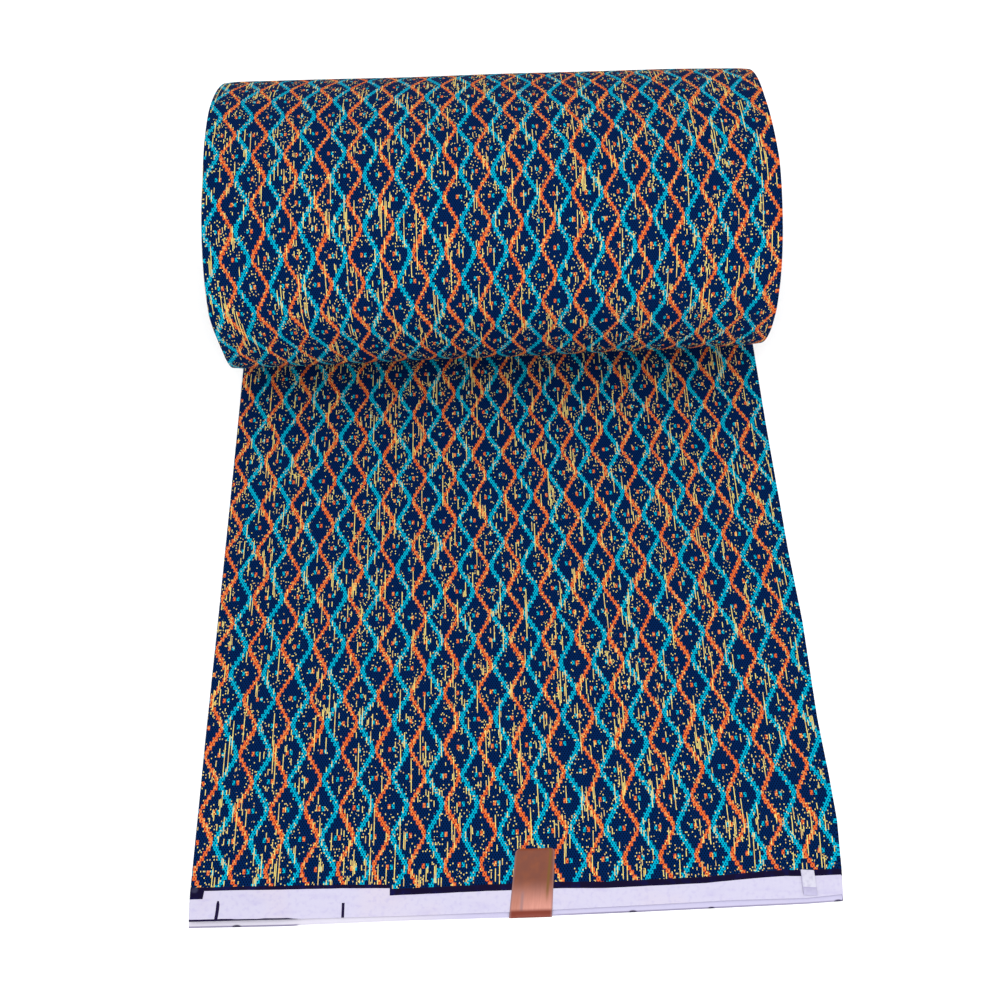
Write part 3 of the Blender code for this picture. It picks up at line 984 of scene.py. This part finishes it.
@dataclass(frozen=True)
class Winding:
    """How the doubled cloth winds from its loose end into the roll."""

    turns: float = 23.4
    full_inset: float = 0.0872
    level_turns: float = 0.5
    rest_height: float = 0.0019
    flat_depths: Pair = (0.0003, 0.0015)
    wound_depths: Pair = (0.00045, 0.00225)
    settle_turns: float = 0.3
    samples_a_turn: int = 720
    swell_rows: Rows = (
        (-1.00, 0.0026), (-0.80, 0.0019), (-0.60, 0.0015), (-0.20, 0.0010), (0.30, 0.0),
        (0.70, -0.0008), (1.00, -0.0022),
    )
    uneven_rows: Rows = (
        (0, 0.0, 0.0), (45, 0.0, -0.0005), (75, 0.0011, -0.0012), (108, -0.0005, 0.0014),
        (130, 0.0002, 0.0006), (165, 0.0011, -0.0003), (185, -0.0010, 0.0003),
        (215, 0.0, -0.0010), (300, 0.0, 0.0),
    )
    groove_pitch: float = 0.018
    groove_depth: float = 0.0022
    groove_fade: float = 0.020
    dish: float = 0.002
    stray: float = 0.001
    stray_waves: Rows = (
        (0.55, 1.37, 0.0), (0.50, 0.53, 1.3), (0.35, 3.11, 0.4), (0.20, 7.73, 2.0),
    )
    right_shift: float = 2.1
    rim: Pair = (0.0035, 0.0010)
    ripple: float = 0.00035
    ripple_waves: Rows = ((31.0, 3.0), (9.0, 1.0))
    lift_turns: Pair = (0.02, 0.12)
    section: RollSection = RollSection()

    def inset(self, turn: Array) -> Array:
        """How far inside the roll's face the cloth's outer face lies after so many turns."""
        growing = (turn - self.level_turns) / (self.turns - self.level_turns)
        return self.full_inset * np.maximum(growing, 0.0)

    def inside(self, turn: Array) -> Array:
        """How far the edges' unevenness has set in, from 0 at the roll's face to 1 inside."""
        return np.clip(self.inset(turn) / self.groove_fade, 0, 1)

    def depth(self, turn: Array, ply: Array) -> Array:
        """How deep inside the band a ply lies: 0 is the outer ply and 1 the inner one.

        Args:
            turn: Turns from the bottom of the roll.
            ply: The ply, or a share between.

        Returns:
            The depth from the cloth's outer face, which is its underside where it lies flat.
        """
        settled = smooth_step(0.0, self.settle_turns, turn)
        outer, inner = (between(flat, wound, settled)
                        for flat, wound in zip(self.flat_depths, self.wound_depths))
        return between(outer, inner, ply)

    def lengths(self) -> tuple[Array, Array]:
        """Turns from the bottom of the roll, and the cloth's length travelled at each.

        Returns:
            The turns and the lengths.
        """
        turn = np.linspace(0.0, self.turns, int(self.turns * self.samples_a_turn) + 1)
        y, z = self.section.place(turn, self.inset(turn))
        run = np.concatenate([[0.0], np.cumsum(np.hypot(np.diff(y), np.diff(z)))])
        return turn, run

    def stations(self, first: float, last: float, step: float, bend: float) -> Array:
        """Turns from first to last, closer together where the cloth bends.

        Args:
            first: The first turn.
            last: The last turn.
            step: The length of cloth between two stations where it is straight.
            bend: The angle between them, in degrees, where it is bent.

        Returns:
            The turns of the stations.
        """
        turn, run = self.lengths()
        y, z = self.section.place(turn, self.inset(turn))
        heading = np.degrees(np.unwrap(np.arctan2(np.gradient(z), np.gradient(y))))
        effort = run / step + (heading - heading[0]) / bend
        ends = np.interp([first, last], turn, effort)
        stops = np.linspace(*ends, max(2, int(round(ends[1] - ends[0])) + 1))
        return np.interp(stops, effort, turn)

    def edges(self, turn: Array) -> tuple[Array, Array]:
        """Where the cloth's left and right edges lie at each turn.

        Each edge stands out by the table of angles, and back by the dish, by a groove that winds
        in with the turns, and by a sum of sines that differs from one turn to the next.

        Args:
            turn: Turns from the bottom of the roll.

        Returns:
            The x of the left and of the right edges.
        """
        angle = (turn * 360 - 90) % 360
        inset, inside = self.inset(turn), self.inside(turn)
        groove_angle = 2 * np.pi * (inset / self.groove_pitch - turn)
        groove = self.groove_depth * (1 - np.cos(groove_angle)) / 2
        setback = self.dish * inset / self.full_inset + groove * inside
        sides = []
        for sign, column, shift in ((-1, 1, 0.0), (1, 2, self.right_shift)):
            stray = np.zeros_like(turn)
            for size, rate, phase in self.stray_waves:
                stray += size * np.sin(2 * np.pi * rate * turn + phase + shift)
            out = read_off(self.uneven_rows, angle, column, period=360)
            sides.append(sign * (HALF_WIDTH + out - setback + self.stray * stray * inside))
        return sides[0], sides[1]

    def swell(self, x: Array, turn: Array) -> Array:
        """How far the roll swells at places across, less and less towards its middle."""
        return read_off(self.swell_rows, x / HALF_WIDTH) * (1 - self.inset(turn) / self.full_inset)

    def place(self, turn: Array, x: Array, depth: Array) -> tuple[Array, Array]:
        """Points of the wound cloth at a depth, resting on the loose end below.

        Both rims round off by an exponential, and a product of sines ripples the face.

        Args:
            turn: Turns from the bottom of the roll.
            x: Places across.
            depth: How deep inside the band.

        Returns:
            The points' y and z.
        """
        reach, drop = self.rim
        rim = np.exp(-np.maximum(HALF_WIDTH - np.abs(x), 0.0) / reach) * drop
        ripple = self.ripple
        for rate, cycles in self.ripple_waves:
            ripple = ripple * np.sin(rate * x + 2 * np.pi * cycles * turn)
        lift = (self.swell(x, turn) - rim + ripple) * smooth_step(*self.lift_turns, turn)
        y, z = self.section.place(turn, self.inset(turn) + depth - lift)
        floor = np.where(turn > self.level_turns, self.rest_height, 0.0) + depth
        return y, np.maximum(z, floor)


@dataclass(frozen=True)
class Stretch:
    """A stretch of the cloth inside the roll, up to its last turn, with the steps of its grid.

    The spacing is a length where the cloth is straight and an angle in degrees where it bends.
    """

    name: str
    last: float
    spacing: Pair
    columns: int
    thickness: float


@dataclass
class WaxCloth:
    """The cloth itself: its loose end, its outer turn and the turns inside the roll."""

    winding: Winding = Winding()
    finish: PrintedCotton = PrintedCotton()
    thickness: float = 0.0005
    flat_steps: tuple[int, int] = (84, 56)
    rise_turn: float = 0.06
    rise_spacing: Pair = (0.006, 4.0)
    stretches: tuple[Stretch, ...] = (
        Stretch("cloth_outer_turn", 1.12, (0.0055, 5.0), 60, 0.0005),
        Stretch("cloth_inner_turns", Winding.turns, (0.014, 9.0), 8, 0.00062),
    )
    edge: float = 0.0006
    fold_points: int = 9
    fold_step: float = 0.002
    band_end: float = 0.060
    roll_contact: float = 0.470
    wave_fade: float = 0.040
    selvage_step: float = 0.0004
    selvage_stray: float = 0.0010
    stray_rate: float = 0.83
    selvage_power: float = 8.0
    lift_height: float = 0.0019
    lift_sides: Pair = (-0.135, -0.185)
    lift_fronts: Pair = (0.030, 0.0)
    wave_rows: Rows = (
        (0.00022, 11.0, 20.0, 0.4), (0.00022, 23.0, -2.0, 0.4), (0.00008, 61.0, 37.0, 1.0),
        (0.00006, -43.0, 71.0, 2.0),
    )
    front_rows: Rows = (
        (-0.2285, -0.0009, -0.0045), (-0.1570, -0.0013, -0.0054), (-0.1480, -0.0010, -0.0049),
        (-0.0810, -0.0013, -0.0043), (0.0000, -0.0010, -0.0045), (0.0800, 0.0005, -0.0037),
        (0.1520, 0.0020, -0.0026), (0.2030, 0.0018, -0.0018), (0.2285, 0.0036, -0.0008),
    )
    bow_rows: Rows = (
        (0.000, 0.0000, 0.0000), (0.020, 0.0014, 0.0022), (0.055, 0.0014, 0.0047),
        (0.090, 0.0013, 0.0042), (0.133, 0.0013, 0.0026), (0.212, 0.0006, 0.0035),
        (0.276, 0.0004, 0.0014), (0.400, 0.0000, 0.0002), (0.650, 0.0000, 0.0000),
    )

    def profile(self, columns: int) -> tuple[Array, Array, Array]:
        """The doubled cloth's profile: the upper ply to the right, the fold, the lower ply back.

        Args:
            columns: Even steps across each ply.

        Returns:
            For each point its share of the way across, how far it bulges at the fold (the cosine
            of its angle there, else 0) and its ply, from 1 on the upper to 0 on the lower.
        """
        share = crowded(columns, self.edge / CLOTH_WIDTH)
        angle = np.linspace(np.pi / 2, -np.pi / 2, self.fold_points)[1:-1]
        flat = np.zeros(len(share))
        shares = np.concatenate([share, np.ones(len(angle)), share[::-1]])
        bulge = np.concatenate([flat, np.cos(angle), flat])
        plies = np.concatenate([flat + 1, (1 + np.sin(angle)) / 2, flat])
        return shares, bulge, plies

    def spread(self, turns: Array, left: Array, right: Array,
               columns: int) -> tuple[Array, Array, Array, Array]:
        """Spreads the profile between the two edges at each row.

        Args:
            turns: The turn at each row.
            left: The left edge at each row.
            right: The fold's outside at each row.
            columns: Even steps across each ply.

        Returns:
            The x of each point of the grid and its depth in the band, and each column's ply and
            place across the unfolded cloth, which rises over the upper ply and on over the lower.
        """
        shares, bulge, plies = self.profile(columns)
        depth = self.winding.depth(turns[:, None], plies)
        left, radius = left[:, None], (depth[:, :1] - depth[:, -1:]) / 2
        stray = self.winding.inside(turns) * np.sin(2 * np.pi * self.stray_rate * turns)
        inward = (self.selvage_stray * stray - self.selvage_step)[:, None]
        x = left + (right[:, None] - radius - left) * shares + radius * bulge
        x = x + inward * (1 - shares) ** self.selvage_power * (1 - plies)
        unfolded = np.where(plies >= 0.5, shares - 0.5, 1.5 - shares) * CLOTH_WIDTH
        round_fold = np.where(shares == 1.0, (0.5 - plies) * self.fold_step, 0.0)
        return x, depth, plies, unfolded + round_fold

    def wound(self, first: float, stretch: Stretch,
              material: bpy.types.Material) -> bpy.types.Object:
        """A stretch of the cloth inside the roll.

        Args:
            first: The turn where it starts.
            stretch: Its name, last turn, steps and thickness.
            material: The cloth's material.

        Returns:
            The piece.
        """
        winding = self.winding
        turns = winding.stations(first, stretch.last, *stretch.spacing)
        x, depth, _, u = self.spread(turns, *winding.edges(turns), stretch.columns)
        y, z = winding.place(turns[:, None], x, depth)
        v = winding.section.centre + np.interp(turns, *winding.lengths())
        return add_surface(stretch.name, (x, y, z), (u, v[:, None]), stretch.thickness, material)

    def loose_end(self, material: bpy.types.Material) -> bpy.types.Object:
        """The loose end: flat to the roll's middle, then the start of the first turn.

        Each column starts at its own place on the front edge, and the difference fades out over
        the band. The upper ply rises and falls by a sum of sines between the band and the roll.

        Args:
            material: The cloth's material.

        Returns:
            The piece.
        """
        winding = self.winding
        reach = winding.section.centre
        rows, columns = self.flat_steps
        flat = crowded(rows, self.edge / reach)[:-2] * reach
        rising = winding.stations(0.0, self.rise_turn, *self.rise_spacing)
        turns = np.concatenate([np.zeros(len(flat)), rising])
        run = np.concatenate([flat, reach + np.interp(rising, *winding.lengths())])
        left = -HALF_WIDTH - read_off(self.bow_rows, run)
        right = HALF_WIDTH + read_off(self.bow_rows, run, 2)
        x, depth, plies, u = self.spread(turns, left, right, columns)
        turns, run = turns[:, None], run[:, None]
        front = between(read_off(self.front_rows, x, 2), read_off(self.front_rows, x), plies)
        flat_y = run + front * np.clip(1 - run / self.band_end, 0, 1)
        flat_z = depth + (self.waves(x, flat_y) + self.lift(x, flat_y)) * plies
        wound_y, wound_z = winding.place(turns, x, depth)
        y = np.where(turns > 0, wound_y, flat_y)
        z = np.where(turns > 0, wound_z, flat_z)
        return add_surface("cloth_loose_end", (x, y, z), (u, run), self.thickness, material)

    def waves(self, x: Array, y: Array) -> Array:
        """Shallow unevenness of the upper ply: a sum of sines that fades at band and roll.

        Args:
            x: Places across.
            y: Places along.

        Returns:
            How far it rises or sinks there.
        """
        wave = np.zeros_like(x)
        for height, across_rate, along_rate, phase in self.wave_rows:
            wave += height * np.sin(across_rate * x + along_rate * y + phase)
        after_band = np.clip((y - self.band_end) / self.wave_fade, 0, 1)
        before_roll = np.clip((self.roll_contact - y) / self.wave_fade, 0, 1)
        return wave * after_band * before_roll

    def lift(self, x: Array, y: Array) -> Array:
        """How far the upper ply stands off the lower one at the front left corner."""
        near_left = smooth_step(*self.lift_sides, x)
        return self.lift_height * near_left * smooth_step(*self.lift_fronts, y)

    def build(self) -> list[bpy.types.Object]:
        """Makes the three stretches of the cloth and declares them.

        Returns:
            The three pieces.
        """
        material = self.finish.build()
        stops = [self.rise_turn, *(stretch.last for stretch in self.stretches)]
        pieces = [self.loose_end(material)]
        for first, stretch in zip(stops, self.stretches):
            pieces.append(self.wound(first, stretch, material))
        reach = self.winding.section.centre + np.interp(stops, *self.winding.lengths())
        wound = (Hold.FOLDED, "cloth_roll", ("loose_end",))
        holds = ((Hold.LAID, "loose_end", ()), wound, wound)
        for piece, length, (hold, node, below) in zip(pieces, np.diff(reach, prepend=0.0), holds):
            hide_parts(node)
            LOG.info("%s: %.3f m of cloth", piece.name, length)
        LOG.info("cloth in all: %.2f m", reach[-1])
        return pieces


@dataclass
class FoilLabel:
    """A strip of foil stuck on the band and bent down over the cloth's front edge."""

    rear_sides: Pair = (0.0014, 0.0295)
    front_sides: Pair = (-0.0048, 0.0252)
    rear: float = 0.0422
    bend_start: float = 0.0012
    front: float = -0.0050
    seat: float = 0.0019
    foot: float = 0.0004
    corner: float = 0.0030
    rear_shares: tuple[float, ...] = (0.0, 0.004, 0.014, 0.03)
    even_shares: tuple[float, float, int] = (0.05, 1.0, 72)
    columns: tuple[int, float] = (18, 0.012)
    bow: float = 0.00035
    bow_from: Pair = (0.2, 0.75)
    ripple: Triple = (0.0001, 37.0, 9.0)
    stuck_from: Pair = (1.0, 0.9)
    thickness: float = 0.00014
    finish: CopperFoil = CopperFoil()

    def build(self) -> bpy.types.Object:
        """Makes the label.

        The path along it runs level from the rear, then rounds down in a quarter of an ellipse
        and ends upright at the front. The rear corners are rounded by drawing the sides in by a
        circle's sagitta. A sine across bows it up, with a slight slanting sine on top, and both
        fade where its front end is stuck.

        Returns:
            The piece.
        """
        share = np.concatenate([self.rear_shares, np.linspace(*self.even_shares)])[:, None]
        across = crowded(*self.columns)
        level = self.rear - self.bend_start
        slope = math.hypot(self.bend_start - self.front, self.seat - self.foot)
        run = share * (level + slope)
        down = np.clip((run - level) / slope, 0, 1) * np.pi / 2
        bent = between(self.bend_start, self.front, np.sin(down))
        y = np.where(run < level, self.rear - run, bent)
        z = between(self.seat, self.foot, 1 - np.cos(down))
        fan = (self.rear - y) / (self.rear - self.front)
        left, right = (between(*ends, fan) for ends in zip(self.rear_sides, self.front_sides))
        inward = self.corner * drawn_in(1 - run / self.corner)
        x = between(left + inward, right - inward, across)
        height, across_rate, along_rate = self.ripple
        bow = self.bow * np.sin(np.pi * across) * smooth_step(*self.bow_from, share)
        bow = bow + height * np.sin(across_rate * across + along_rate * share)
        z = z + bow * smooth_step(*self.stuck_from, share)
        label = add_surface("copper_foil_label", (x, y, z), (across, share), self.thickness,
                            self.finish.build())
        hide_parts("foil_label")
        LOG.info("%s: %.1f mm long", label.name, (level + slope) * 1000)
        return label


@dataclass
class PaperTab:
    """A small paper tab on the band, creased across below its middle."""

    centre: Pair = (0.2062, 0.0122)
    size: Pair = (0.0094, 0.0176)
    columns: tuple[int, float] = (14, 0.02)
    rows: tuple[int, float] = (22, 0.012)
    corner: Pair = (0.04, 0.06)
    lean: float = 0.0010
    turned: float = math.radians(-4.8)
    seat: float = 0.00195
    crease: float = 0.70
    arches: Pair = (0.00045, 0.0004)
    foot_rise: float = 0.0003
    curl: float = 0.0004
    curl_from: Pair = (0.0, 0.5)
    thickness: float = 0.00012
    finish: PlainPaper = PlainPaper()

    def build(self) -> bpy.types.Object:
        """Makes the tab.

        Its height over the band is a low arch from its head to the crease and a second, rising
        one from the crease to its foot, each half a sine. Its two sides curl up by a square.

        Returns:
            The piece.
        """
        across, along = crowded(*self.columns), crowded(*self.rows)[:, None]
        corner_width, corner_length = self.corner
        near_end = 1 - np.minimum(along, 1 - along) / corner_length
        local_x = (across - 0.5) * (1 - 2 * corner_width * drawn_in(near_end)) * self.size[0]
        local_y = (0.5 - along) * self.size[1]
        cosine, sine = math.cos(self.turned), math.sin(self.turned)
        x = self.centre[0] + local_x * cosine - local_y * sine + self.lean * (along - 0.5)
        y = self.centre[1] + local_x * sine + local_y * cosine
        head = np.clip(along / self.crease, 0, 1)
        foot = np.clip((along - self.crease) / (1 - self.crease), 0, 1)
        z = self.seat + self.foot_rise * foot
        for height, part in zip(self.arches, (head, foot)):
            z = z + height * np.sin(np.pi * part)
        z = z + self.curl * (2 * across - 1) ** 2 * smooth_step(*self.curl_from, along)
        tab = add_surface("white_paper_tab", (x, y, z), (across, along), self.thickness,
                          self.finish.build())
        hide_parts("white_tab")
        LOG.info("%s: %.1f by %.1f mm", tab.name, self.size[0] * 1000, self.size[1] * 1000)
        return tab


@dataclass(frozen=True)
class SoftLamp:
    """A square lamp: where it hangs, the point it shines at, its width and its watts."""

    name: str
    place: Triple
    aim: Triple
    size: float
    power: float

    def build(self) -> None:
        """Makes the lamp."""
        data = bpy.data.lights.new(self.name, "AREA")
        data.shape = "SQUARE"
        data.size = self.size
        data.energy = self.power
        lamp = bpy.data.objects.new(self.name, data)
        lamp.location = self.place
        direction = Vector(self.aim) - Vector(self.place)
        lamp.rotation_euler = direction.to_track_quat("-Z", "Y").to_euler()
        bpy.context.scene.collection.objects.link(lamp)


@dataclass
class Studio:
    """A white floor, soft light from above and in front, and the camera."""

    floor: StudioFloor = StudioFloor()
    floor_half: float = 6.0
    world_strength: float = 1.04
    lamps: tuple[SoftLamp, ...] = (
        SoftLamp("key_lamp", (-0.2, 0.2, 2.2), (0.0, 0.05, 0.0), 2.4, 16.0),
        SoftLamp("front_lamp", (0.3, -1.6, 1.3), (0.0, 0.1, 0.05), 1.4, 21.0),
    )
    lens: float = 43.54
    sensor_width: float = 36.0
    depression: float = math.radians(60)
    yaw: float = -0.01719
    roll: float = -0.05072
    eye: Triple = (0.006567, -0.173952, 0.876489)

    def build(self) -> None:
        """Makes the floor, the world, the lamps and the camera."""
        self.make_floor()
        self.make_world()
        for lamp in self.lamps:
            lamp.build()
        self.make_camera()

    def make_floor(self) -> None:
        """A large level square just under the cloth."""
        half = self.floor_half
        mesh = bpy.data.meshes.new("studio_floor")
        corners = [(-half, -half, 0), (half, -half, 0), (half, half, 0), (-half, half, 0)]
        mesh.from_pydata(corners, [], [(0, 1, 2, 3)])
        mesh.materials.append(self.floor.build())
        floor = bpy.data.objects.new("studio_floor", mesh)
        bpy.context.scene.collection.objects.link(floor)

    def make_world(self) -> None:
        """Even white light from all round."""
        world = bpy.data.worlds.new("studio_world")
        world.use_nodes = True
        background = world.node_tree.nodes["Background"]
        background.inputs["Color"].default_value = (1.0, 1.0, 1.0, 1.0)
        background.inputs["Strength"].default_value = self.world_strength
        bpy.context.scene.world = world
        bpy.context.scene.view_settings.view_transform = "Standard"

    def make_camera(self) -> None:
        """The camera in front of the cloth, looking down at it, rolled a little."""
        data = bpy.data.cameras.new("camera")
        data.lens = self.lens
        data.sensor_width = self.sensor_width
        camera = bpy.data.objects.new("camera", data)
        level, sink = math.cos(self.depression), math.sin(self.depression)
        ahead = Vector((math.sin(self.yaw) * level, math.cos(self.yaw) * level, -sink))
        right = Vector((math.cos(self.yaw), -math.sin(self.yaw), 0.0))
        up = right.cross(ahead)
        rolled_right = right * math.cos(self.roll) + up * math.sin(self.roll)
        rolled_up = up * math.cos(self.roll) - right * math.sin(self.roll)
        axes = Matrix((rolled_right, rolled_up, -ahead)).transposed()
        place = Vector(self.eye) - Vector(MIDDLE)
        camera.matrix_world = Matrix.Translation(place) @ axes.to_4x4()
        bpy.context.scene.collection.objects.link(camera)
        bpy.context.scene.camera = camera


def main() -> None:
    """Builds the studio and every piece, and reports each one."""
    logging.basicConfig(level=logging.INFO, format="%(name)s: %(message)s")
    Studio().build()
    pieces = WaxCloth().build()
    pieces.append(FoilLabel().build())
    pieces.append(PaperTab().build())
    LOG.info("pieces made: %s", ", ".join(piece.name for piece in pieces))


if __name__ == "__main__":
    main()
